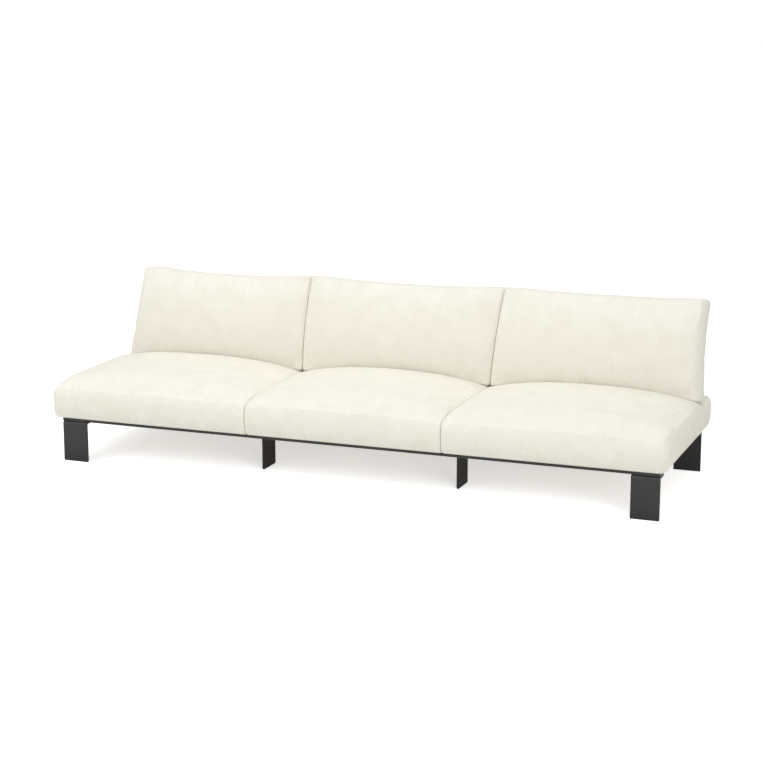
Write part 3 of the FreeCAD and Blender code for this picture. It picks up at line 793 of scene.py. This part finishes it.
    def shape(self) -> tuple[BMesh, list[Side]]:
        """Moves the block's points to the cushion and gives it its weave map.

        Returns:
            The cushion in metres, and the panel of each of its faces.
        """
        bm, marks = self.block()
        rings = self.rings(marks)
        ends = {
            Side.LEFT: self.end_panel(rings, marks, False), Side.RIGHT: self.end_panel(rings, marks, True)
        }
        counts = [len(mark) - 1 for mark in marks]
        spans = (self.right - self.left, self.depth_hint, self.height_hint)
        weave = bm.loops.layers.uv.new(WEAVE_UV)
        panels = []
        for face in bm.faces:
            centre = face.calc_center_median()
            side = next(s for s in Side if abs(centre[s.value[0]] - s.value[1] * counts[s.value[0]]) < 0.01)
            panels.append(side)
            flat = [axis for axis in range(3) if axis != side.value[0]]
            for loop in face.loops:
                spots = [marks[axis][round(loop.vert.co[axis])] * spans[axis] * MM for axis in flat]
                loop[weave].uv = spots
        for vert in bm.verts:
            i, j, k = (round(part) for part in vert.co)
            if k in (0, counts[2]):
                point = rings[Side.TOP if k else Side.UNDER][i, j]
            elif j in (0, counts[1]):
                point = rings[Side.REAR if j else Side.FRONT][i, k]
            else:
                point = ends[Side.RIGHT if i else Side.LEFT][j, k]
            vert.co = self.slumped(point) * MM
        return bm, panels

    def sew(self, bm: BMesh, panels: list[Side]) -> list[float]:
        """Draws the seams in, puckers the cloth beside them and lets the panels sway.

        Args:
            bm: the cushion.
            panels: the panel of each face.

        Returns:
            How firmly each point is held by a seam or a neighbour, from 0 to 1.
        """
        creases = bm.edges.layers.float.new("crease_edge")
        sewn = []
        for edge in bm.edges:
            sides = {panels[face.index] for face in edge.link_faces}
            if len(sides) == 2 and sides & set(self.seam_sides):
                sewn.append(edge)
        tree = KDTree(len(sewn))
        for index, edge in enumerate(sewn):
            tree.insert((edge.verts[0].co + edge.verts[1].co) / 2, index)
        tree.balance()
        seam_points = {vert.index for edge in sewn for vert in edge.verts}
        for edge in sewn:
            edge[creases] = self.crease
        bm.normal_update()
        seed = Vector((NAMES.index(self.name.split("_")[0]) * 7.3, len(self.name) * 1.7, 0))
        sides_of = {vert.index: panels[vert.link_faces[0].index] for vert in bm.verts}
        long_pucker, short_pucker = self.pucker_spans
        long_sway, short_sway = self.sway_spans
        moves, held = [], []
        for vert in bm.verts:
            near, _, away = tree.find(vert.co)
            gap = 0.0 if vert.index in seam_points else away / MM
            free = self.stillness(vert.co / MM, sides_of[vert.index])
            groove = -self.seam_depth * math.exp(-((gap / self.seam_width) ** 2))
            roll = self.seam_roll * math.exp(-(((gap - self.roll_place) / self.roll_width) ** 2))
            pucker = noise.noise(near / (long_pucker * MM) + seed)
            pucker += 0.7 * noise.noise(near / (short_pucker * MM) + seed)
            fade = min(1.0, 0.25 + gap / 8) * math.exp(-((gap / self.pucker_reach) ** 1.5))
            broad = noise.noise(vert.co / (long_sway * MM) + seed)
            broad += 0.5 * noise.noise(vert.co / (short_sway * MM) - seed)
            calm = 1 - math.exp(-((gap / self.calm_reach) ** 2))
            move = groove + free * (roll + self.pucker * pucker * fade + self.sway * broad * calm)
            moves.append(vert.normal * move * MM)
            held.append(1 - free * min(1.0, gap / 4))
        for vert, move in zip(bm.verts, moves):
            vert.co += move
        return held

    def fill_out(self, piece: Object, held: list[float]) -> None:
        """Lets the cover swell over its filling as simulated cloth, and keeps the result.

        Args:
            piece: the sewn cushion.
            held: for each point, how firmly it is held, from 0 to 1.
        """
        group = piece.vertex_groups.new(name="held")
        for index, weight in enumerate(held):
            group.add([index], weight, "REPLACE")
        before = np.array([vert.co[:] for vert in piece.data.vertices])
        cloth = piece.modifiers.new("cover", "CLOTH")
        settings = cloth.settings
        settings.quality = 4
        settings.mass = 0.25
        settings.tension_stiffness = settings.compression_stiffness = 12.0
        settings.shear_stiffness = 4.0
        settings.bending_stiffness = 0.4
        settings.vertex_group_mass = group.name
        settings.use_pressure = True
        settings.uniform_pressure_force = self.pressure
        # The cover is cut a little larger than the filling, so it gathers beside its seams
        settings.shrink_min = -self.spare_cloth
        settings.effector_weights.gravity = 0.0
        cloth.collision_settings.use_collision = False
        cloth.collision_settings.use_self_collision = False
        scene = bpy.context.scene
        for step in range(1, self.settle_frames + 1):
            scene.frame_set(step)
        posed = piece.evaluated_get(bpy.context.evaluated_depsgraph_get())
        after = np.array([vert.co[:] for vert in posed.data.vertices])
        piece.modifiers.remove(cloth)
        piece.vertex_groups.remove(group)
        scene.frame_set(1)
        move = after - before
        length = np.linalg.norm(move, axis=1, keepdims=True)
        cap = self.swell_cap * MM
        move *= cap * np.tanh(length / cap) / np.maximum(length, 1e-9)
        piece.data.vertices.foreach_set("co", (before + move).ravel())
        piece.data.update()
        LOG.info("%s swelled by %.1f mm at most", piece.name, length.max() / MM)

    def build(self, material: Material) -> Object:
        """Args:
            material: the cover's finish.

        Returns:
            The cushion's object.
        """
        bm, panels = self.shape()
        for index, face in enumerate(bm.faces):
            face.index = index
        bm.verts.index_update()
        held = self.sew(bm, panels)
        bmesh.ops.recalc_face_normals(bm, faces=bm.faces)
        piece = finish_mesh(f"{self.name}_cushion", bm, material)
        self.fill_out(piece, held)
        rounding = piece.modifiers.new("rounding", "SUBSURF")
        rounding.levels = rounding.render_levels = 1
        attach(piece, self.name)
        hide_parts(f"{self.name}_cover", f"{self.name}_core")
        return piece


class SeatCushion(BoxedCushion):
    """A seat cushion: crowned on top, flat below, with the hollow that the back cushion presses."""

    def __init__(self, place: str) -> None:
        """Sets the cushion's sizes.

        Args:
            place: left, middle or right.
        """
        self.back_left, self.back_right = (end[0] for end in SIZES.back_ends(place))
        # Neighbours press each other's corners nearly square, and the left end is filled fuller
        loose, pressed = 26.0, 7.0
        self.rises = (SIZES.side_rise + (10 if place == "left" else 0), SIZES.side_rise)
        super().__init__(
            f"{place}_seat",
            SIZES.seat_ends(place),
            radii=(loose if place == "left" else pressed, loose if place == "right" else pressed),
            seam_depth=0.6,
            seam_roll=0.3,
            crease=0.15,
            tucks=(-6 if place == "left" else 0, 14 if place == "right" else 0),
            depth_hint=SIZES.rear - SIZES.front,
            height_hint=SIZES.boxing + 18,
            seam_sides=(Side.TOP, Side.UNDER),
        )

    def section(self, across: float, pull: float, share: float) -> dict[Side, np.ndarray]:
        """The section's four lines, from front to rear and from bottom to top."""
        s = SIZES
        seam = s.seat_base + s.boxing
        front, rear, base = s.front + pull, s.rear - pull, s.seat_base + pull
        radius = s.edge_radius
        corner = radius * (1 - math.sqrt(0.5))
        half = (self.back_right - self.back_left) / 2
        back = BackCorners.at(crown_share(min(across - self.back_left, self.back_right - across), half))
        front_seam = seam + s.front_rise * share - pull
        place = (across - self.left) / (self.right - self.left)
        side_rise = self.rises[0] * (1 - place) + self.rises[1] * place

        def top(side_part: float, middle_part: float) -> float:
            """Height of the top panel at its share of the side seam's rise and of the crown."""
            side = seam + side_rise * side_part
            return side + (seam + s.crown * middle_part - side) * share - pull

        lip = top(0.85, 1.0)
        rise = arc(back.foot, back.front, back.head, 120)
        face_y = np.interp(lip, [z for _, z in rise], [y for y, _ in rise])
        lip_y = face_y - s.foot_gap - pull
        roll_end = s.front + s.roll
        floor_front = step_from(back.foot, -90 - s.foot_tilt, s.hollow_room + pull)
        floor_rear = step_from(back.heel, -90 - s.foot_tilt, s.hollow_room + pull)
        floor_height = min(floor_front[1], lip - 5)
        rear_seam = seam + s.front_rise - pull
        step = (back.heel[0] + s.heel_gap + pull, rear_seam)
        brow = arc((front, front_seam), (front + s.roll * 0.35, top(0.5, 0.6)), (roll_end, top(0.85, 0.83)))
        crown = arc(brow[-1], ((roll_end + lip_y) / 2, top(1.0, 1.0)), (lip_y, lip))
        crown += [(back.foot[0] - s.foot_gap / 2 - pull, floor_height), floor_rear, step, (rear, rear_seam)]
        belly = (front - s.front_bulge, (base + radius + front_seam) / 2)
        lower = (front + corner, base + corner)
        face = [lower, *arc((front, base + radius), belly, (front, front_seam))]
        face = soften(face + brow[1:], s.front_softness)
        cut = int(np.argmin(np.linalg.norm(face - np.array((front, front_seam)), axis=1)))
        under = [lower, (front + radius, base), (rear - radius, base), (rear - corner, base + corner)]
        return {
            Side.FRONT: face[: cut + 1],
            Side.REAR: soften([(rear - corner, base + corner), (rear, base + radius), (rear, rear_seam)], 5),
            Side.UNDER: soften(under, 5),
            Side.TOP: np.concatenate([face[cut:-1], soften(crown, 9)]),
        }

    def travel(self, point: np.ndarray) -> float:
        """A seat cushion's lines slant from its rear to its front."""
        return (SIZES.rear - point[1]) / (SIZES.rear - SIZES.front)

    def pinch(self, point: np.ndarray) -> float:
        """A seat cushion's lower end edges tuck in."""
        return max(0.0, 1 - (point[2] - SIZES.seat_base) / 75) ** 2

    def stillness(self, point: Vector, side: Side) -> float:
        """The cloth is free on top and in front, and still where it lies on something."""
        if side == Side.UNDER:
            return 0.0
        free = 1.0
        hollow = (point.y - (SIZES.rear - SIZES.foot_setting - 45)) / 30
        if side == Side.TOP:
            free *= min(1.0, max(0.15, 1 - hollow))
        if side == Side.REAR:
            free *= 0.0
        if side in (Side.LEFT, Side.RIGHT) and abs(point.x) < SIZES.frame_length / 4:
            free *= 0.0
        return free * min(1.0, max(0.0, (point.z - SIZES.seat_base - 6) / 20))


class BackCushion(BoxedCushion):
    """A back cushion: two bowed and crowned panels, standing on its boxing in the seat's hollow."""

    def __init__(self, place: str) -> None:
        """Sets the cushion's sizes.

        Args:
            place: left, middle or right.
        """
        super().__init__(
            f"{place}_back",
            SIZES.back_ends(place),
            radii=(20 if place == "left" else 12, 20 if place == "right" else 12),
            tucks=(12 if place == "left" else 0, 6 if place == "right" else 0),
            depth_hint=SIZES.thickness,
            height_hint=SIZES.back_height,
            seam_sides=(Side.FRONT, Side.REAR),
            sway=2.6,
            pucker=1.7,
        )

    def section(self, across: float, pull: float, share: float) -> dict[Side, np.ndarray]:
        """The section's four lines, from front to rear and from bottom to top."""
        spot = BackCorners.at(share, pull, SIZES.top_dips[NAMES.index(self.name.split("_")[0])])
        # The lower corners stand out as ears, and fill the crease between the seats
        foot = (spot.foot[0], spot.foot[1] - SIZES.foot_ear * (1 - share) ** 3)
        return {
            Side.FRONT: np.array(arc(foot, spot.front, spot.head)),
            Side.REAR: np.array(arc(spot.heel, spot.rear, spot.crest)),
            Side.UNDER: np.array([foot, spot.heel]),
            Side.TOP: np.array([spot.head, spot.crest]),
        }

    def travel(self, point: np.ndarray) -> float:
        """A back cushion's ends slump from its foot to its head."""
        return (point[2] - SIZES.seat_base - SIZES.foot_rise) / SIZES.back_height

    def pinch(self, point: np.ndarray) -> float:
        """A back cushion's ends pull in between their corners."""
        return math.sin(math.pi * min(max(self.travel(point), 0.0), 1.0))

    def stillness(self, point: Vector, side: Side) -> float:
        """The cloth is free in front, behind and on top, and still below and between cushions."""
        if side == Side.UNDER:
            return 0.0
        free = min(1.0, max(0.1, (point.z - SIZES.seat_base - SIZES.foot_rise + 20) / 60))
        if side in (Side.LEFT, Side.RIGHT) and abs(point.x) < SIZES.frame_length / 4:
            free *= 0.0
        return free


# Zips


@dataclass
class Zip:
    """A coil zip let into a cushion's hidden panel: two tapes, the teeth and the slider with its tab."""

    cushion: str
    start: float
    end: float
    spot: tuple[float, float]
    turn: float
    tape_width: float = 30.0
    tape_thickness: float = 0.8
    coil_width: float = 6.0
    coil_height: float = 2.0
    tooth_pitch: float = 4.0
    slider_length: float = 16.0
    slider_width: float = 9.4
    tab_length: float = 30.0
    tab_width: float = 7.0

    def place(self, bm: BMesh, across: float) -> None:
        """Turns a piece made flat at the origin to its panel.

        Args:
            bm: the piece, in millimetres.
            across: X of the piece's own origin.
        """
        turn = Euler((math.radians(self.turn), 0, 0)).to_matrix()
        bmesh.ops.rotate(bm, verts=bm.verts, matrix=turn)
        bmesh.ops.translate(bm, verts=bm.verts, vec=(across, *self.spot))
        bmesh.ops.scale(bm, verts=bm.verts, vec=(MM, MM, MM))
        bmesh.ops.recalc_face_normals(bm, faces=bm.faces)

    def block(self, bm: BMesh, low: tuple, high: tuple, rounding: float) -> None:
        """Adds a block with rounded edges between two corners."""
        made = bmesh.ops.create_cube(bm, size=1.0)["verts"]
        size = [b - a for a, b in zip(low, high)]
        middle = [(a + b) / 2 for a, b in zip(low, high)]
        bmesh.ops.scale(bm, verts=made, vec=size)
        bmesh.ops.translate(bm, verts=made, vec=middle)
        edges = list({edge for vert in made for edge in vert.link_edges})
        bmesh.ops.bevel(
            bm, geom=edges, offset=rounding, segments=2, profile=0.5, affect="EDGES", material=-1
        )

    def add_tapes(self, tape: Material, coil: Material) -> None:
        """Makes both tapes and the closed teeth between them."""
        length, half, gap = self.end - self.start, self.tape_width / 2, 0.4
        bm = bmesh.new()
        for side in (-1, 1):
            low, high = sorted((side * gap, side * half))
            self.block(bm, (0, low, 0), (length, high, self.tape_thickness), 0.25)
        self.place(bm, self.start)
        self.keep("tape", bm, tape, f"{self.cushion}_zip")
        bm = bmesh.new()
        for side, across in ((-1, 0.0), (1, self.tooth_pitch / 2)):
            low, high = sorted((side * -0.9, side * self.coil_width / 2))
            top = self.tape_thickness + self.coil_height
            self.block(bm, (across, low, 0.5), (across + 1.6, high, top), 0.4)
        self.place(bm, self.start)
        row = self.keep("teeth", bm, coil, None).modifiers.new("row", "ARRAY")
        row.use_relative_offset = False
        row.use_constant_offset = True
        row.constant_offset_displace = (self.tooth_pitch * MM, 0, 0)
        row.count = int(length / self.tooth_pitch)

    def add_slider(self, metal: Material) -> None:
        """Makes the slider: a waisted body over the teeth, a bridge, and a tab with a hole."""
        bm = bmesh.new()
        roof = self.tape_thickness + self.coil_height + 0.3
        half = self.slider_width / 2
        for side in (-1, 1):
            low, high = sorted((side * (half - 1.4), side * half))
            self.block(bm, (0, low, 1.1), (self.slider_length, high, roof + 0.2), 0.3)
        self.block(bm, (0, -half, roof), (self.slider_length, half, roof + 1.4), 0.5)
        tab = self.tab_width / 2
        for side in (-1, 1):
            low, high = sorted((side * tab, side * tab * 0.45))
            self.block(bm, (1.4, low, roof + 1.4), (1.4 + self.tab_length, high, roof + 2.6), 0.3)
        for first, last in ((1.4, 5.0), (self.tab_length - 3, self.tab_length + 1.4)):
            self.block(bm, (first, -tab, roof + 1.4), (last, tab, roof + 2.6), 0.3)
        self.place(bm, self.start)
        self.keep("slider", bm, metal, f"{self.cushion}_zip_slider", f"{self.cushion}_zip_slider")

    def keep(
        self, kind: str, bm: BMesh, material: Material, node: str | None, body: str | None = None
    ) -> Object:
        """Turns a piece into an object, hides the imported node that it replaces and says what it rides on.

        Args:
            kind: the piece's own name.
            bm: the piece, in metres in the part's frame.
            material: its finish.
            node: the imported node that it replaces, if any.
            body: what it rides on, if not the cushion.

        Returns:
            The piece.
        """
        piece = finish_mesh(f"{self.cushion}_zip_{kind}_piece", bm, material, smooth=False)
        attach(piece, body or self.cushion)
        if node:
            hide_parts(node)
        LOG.info("made %s", piece.name)
        return piece


def zip_of(place: str, kind: str) -> Zip:
    """Sets a cushion's zip on the middle of its rear boxing, or of its lower boxing."""
    if kind == "seat":
        (left, _), (right, _) = SIZES.seat_ends(place)
        spot = (SIZES.rear, SIZES.seat_base + SIZES.boxing / 2)
        turn = -90.0
    else:
        (left, _), (right, _) = SIZES.back_ends(place)
        corners = BackCorners.at(0.0)
        spot = ((corners.foot[0] + corners.heel[0]) / 2, (corners.foot[1] + corners.heel[1]) / 2)
        turn = 180.0 - SIZES.foot_tilt
    return Zip(f"{place}_{kind}", left + SIZES.zip_inset, right - SIZES.zip_inset, spot, turn)


# Frame


@dataclass
class MetalFrame:
    """The steel frame, its deck and its fasteners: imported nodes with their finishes."""

    edge_round: float = 0.7

    def dress(self) -> None:
        """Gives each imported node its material, and rounds the plates' edges."""
        coat, zinc, nylon = POWDER_COAT.material(), BLACK_ZINC.material(), MOULDED_NYLON.material()
        wood = BirchPlywood().material()
        for name, node in frame["nodes"].items():
            if name.endswith(("bolts", "washers")):
                self.finish(node, zinc)
            elif name.endswith(("glides", "rail_cap")):
                self.finish(node, nylon)
            elif name.endswith("deck"):
                self.finish(node, wood)
            elif node["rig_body"] == "frame":
                self.finish(node, coat)
                self.round_edges(node)
            else:
                continue
            LOG.info("dressed %s", name)

    def finish(self, node: Object, material: Material) -> None:
        """Puts one material in all of a node's slots."""
        if not node.material_slots:
            node.data.materials.append(material)
        for slot in node.material_slots:
            slot.material = material

    def round_edges(self, node: Object) -> None:
        """Welds a plate's loose triangles and rounds its cut edges."""
        weld = node.modifiers.new("weld", "WELD")
        weld.merge_threshold = 0.01 * MM
        bevel = node.modifiers.new("cut_edge", "BEVEL")
        bevel.width = self.edge_round * MM
        bevel.segments = 2
        bevel.limit_method = "ANGLE"
        bevel.angle_limit = math.radians(50)
        bevel.use_clamp_overlap = True


# Studio


@dataclass
class Studio:
    """The pale floor, the soft lights and the camera."""

    eye: tuple[float, float, float] = (2.61754, -6.79101, 1.93239)
    yaw: float = 20.96
    pitch: float = 12.28
    lens: float = 86.30
    floor_colour: str = "#FAFAF8"
    floor_lift: float = 0.55
    world_light: float = 0.53

    def build(self) -> None:
        """Makes the studio."""
        self.add_floor()
        self.light_world()
        self.add_lamp("key", (-2.6, -3.2, 3.6), 3.4, 76.0)
        self.add_lamp("fill", (3.8, -4.2, 2.4), 3.4, 76.0)
        self.add_lamp("top", (0.0, 0.4, 4.2), 4.0, 62.0)
        self.add_camera()

    def add_floor(self) -> None:
        """Adds the floor that the sofa stands on."""
        bm = bmesh.new()
        bmesh.ops.create_grid(bm, x_segments=1, y_segments=1, size=40.0)
        material, tree = new_material("painted_floor")
        paint = add_node(tree, "BsdfDiffuse", {"Color": srgb(self.floor_colour), "Roughness": 1.0})
        path = add_node(tree, "LightPath")
        lift = add_node(
            tree, "Math", {0: path.outputs["Is Camera Ray"], 1: self.floor_lift}, operation="MULTIPLY"
        )
        glow = add_node(tree, "Emission", {"Color": (1, 1, 1, 1), "Strength": lift.outputs[0]})
        shader = add_node(tree, "AddShader", {0: paint.outputs[0], 1: glow.outputs[0]})
        close_material(tree, shader)
        finish_mesh("floor", bm, material, smooth=False)

    def light_world(self) -> None:
        """Lights the scene evenly, with a white background for the camera and for reflections."""
        world = bpy.data.worlds.new("studio")
        bpy.context.scene.world = world
        world.use_nodes = True
        tree = world.node_tree
        tree.nodes.clear()
        path = add_node(tree, "LightPath")
        seen = add_node(
            tree,
            "Math",
            {0: path.outputs["Is Camera Ray"], 1: path.outputs["Is Glossy Ray"]},
            operation="MAXIMUM",
        )
        strength = add_node(
            tree, "MapRange", {"Value": seen.outputs[0], "To Min": self.world_light, "To Max": 1.0}
        )
        background = add_node(
            tree, "Background", {"Color": (1, 1, 1, 1), "Strength": strength.outputs[0]}
        )
        add_node(tree, "OutputWorld", {"Surface": background.outputs[0]})

    def add_lamp(self, name: str, place: tuple[float, float, float], width: float, power: float) -> None:
        """Adds a square soft lamp that points at the sofa."""
        lamp = bpy.data.lights.new(name, "AREA")
        lamp.shape = "SQUARE"
        lamp.size = width
        lamp.energy = power
        holder = bpy.data.objects.new(name, lamp)
        holder.location = place
        aim = Vector((0, 0, 0.3)) - Vector(place)
        holder.rotation_euler = aim.to_track_quat("-Z", "Y").to_euler()
        bpy.context.scene.collection.objects.link(holder)

    def add_camera(self) -> None:
        """Adds the camera at the photograph's place."""
        lens = bpy.data.cameras.new("camera")
        lens.lens = self.lens
        lens.sensor_width = 36.0
        lens.clip_end = 100.0
        holder = bpy.data.objects.new("camera", lens)
        holder.location = self.eye
        holder.rotation_euler = Euler((math.radians(90 - self.pitch), 0, math.radians(self.yaw)))
        bpy.context.scene.collection.objects.link(holder)
        bpy.context.scene.camera = holder


def main() -> None:
    """Builds the sofa's looks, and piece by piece."""
    logging.basicConfig(level=logging.INFO, format="%(name)s: %(message)s")
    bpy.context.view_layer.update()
    bpy.context.scene.view_settings.view_transform = "Standard"
    Studio().build()
    linen = LinenWeave().material()
    for place in NAMES:
        for kind in (SeatCushion, BackCushion):
            piece = kind(place).build(linen)
            LOG.info("%s: %d faces", piece.name, len(piece.data.polygons))
    tape, coil, metal = TWILL_TAPE.material(), ZIP_COIL.material(), CAST_ZINC.material()
    for place in NAMES:
        for kind in ("seat", "back"):
            fastening = zip_of(place, kind)
            fastening.add_tapes(tape, coil)
            fastening.add_slider(metal)
    MetalFrame().dress()


if __name__ == "__main__":
    main()
